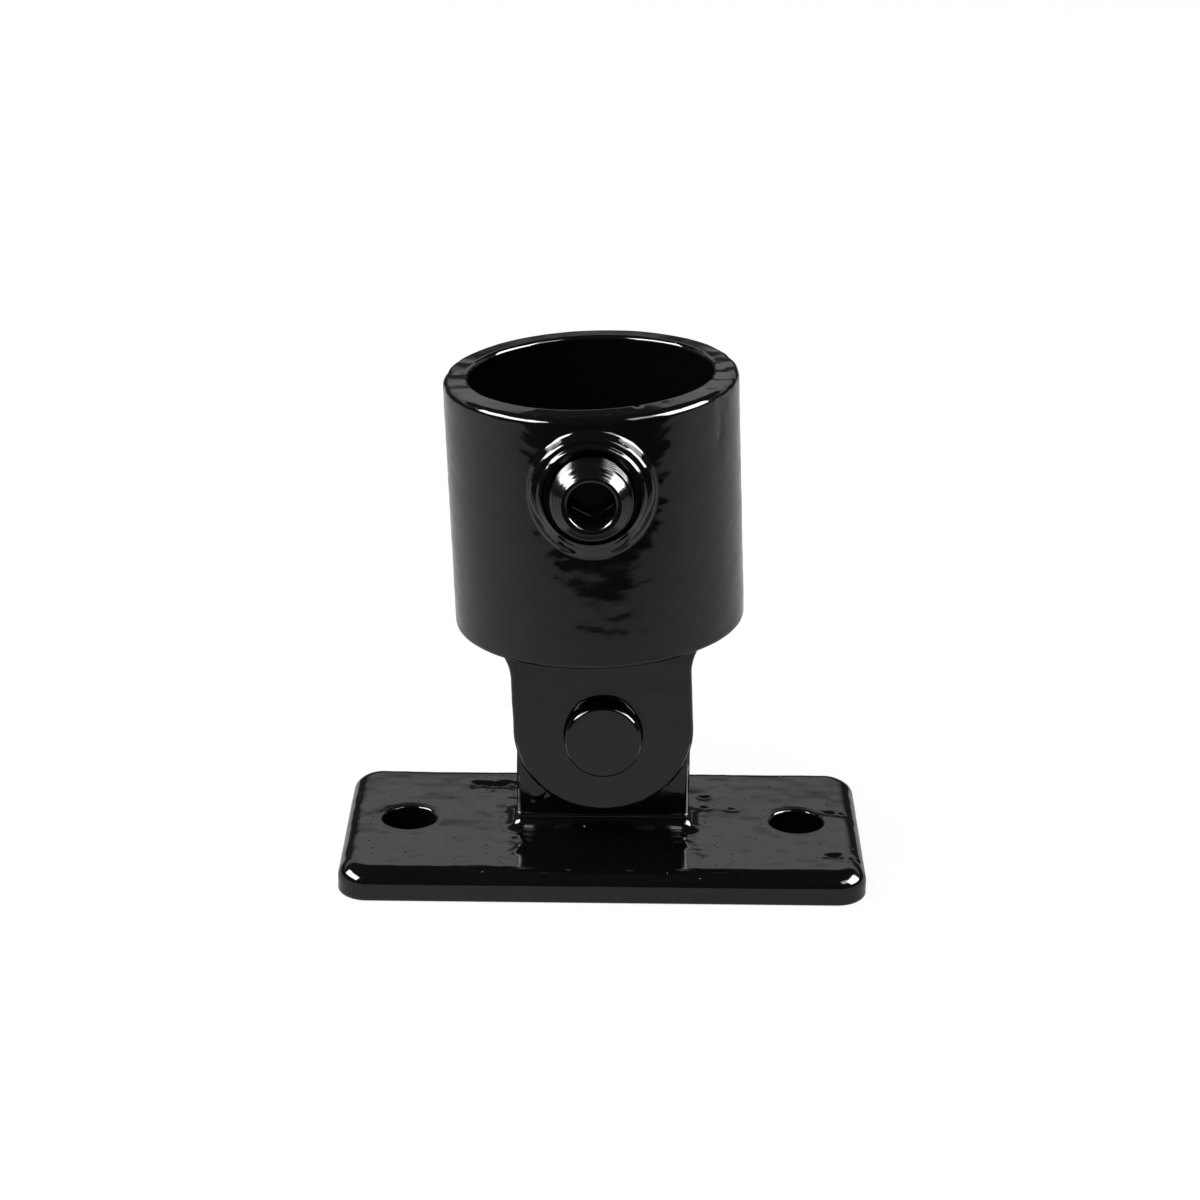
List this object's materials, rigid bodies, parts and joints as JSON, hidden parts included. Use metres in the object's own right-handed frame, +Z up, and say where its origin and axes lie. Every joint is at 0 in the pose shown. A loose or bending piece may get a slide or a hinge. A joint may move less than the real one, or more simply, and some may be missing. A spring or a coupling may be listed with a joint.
{
  "type": "swivel tube clamp base flange",
  "caption": "Cast swivel base flange: flat plate with an upright lug, and a forked tube socket that turns on a pivot pin, with a grub screw to clamp the tube.",
  "frame": {"origin": "centre of the base plate's flat underside", "axes": "+Z up from the base plate, X along the plate through both bolt holes, pivot pin along Y, grub screw on the -Y side. At joint value 0 the socket leans 2.5 degrees towards -X; the swivel at +2.5 degrees stands it upright."},
  "size_m": [0.1106, 0.0677, 0.1087],
  "materials": {
    "coated_casting": "gloss",
    "coated_pin": "gloss",
    "coated_screw": "gloss"
  },
  "bodies": {
    "base": {"base_flange": "coated_casting"},
    "swivel_socket": {"socket": "coated_casting", "pivot_pin": "coated_pin"},
    "clamp_screw": {"grub_screw": "coated_screw"}
  },
  "joints": [
    {"name": "swivel", "type": "hinge", "parent": "base", "child": "swivel_socket", "pos_m": [0, 0, 0.0317], "axis": [0, 1, 0], "range_deg": [-74.5, 79.5]},
    {"name": "grub_screw_travel", "type": "slide", "parent": "swivel_socket", "child": "clamp_screw", "axis": [0, 1, 0], "range_m": [-0.002, 0.005]}
  ]
}
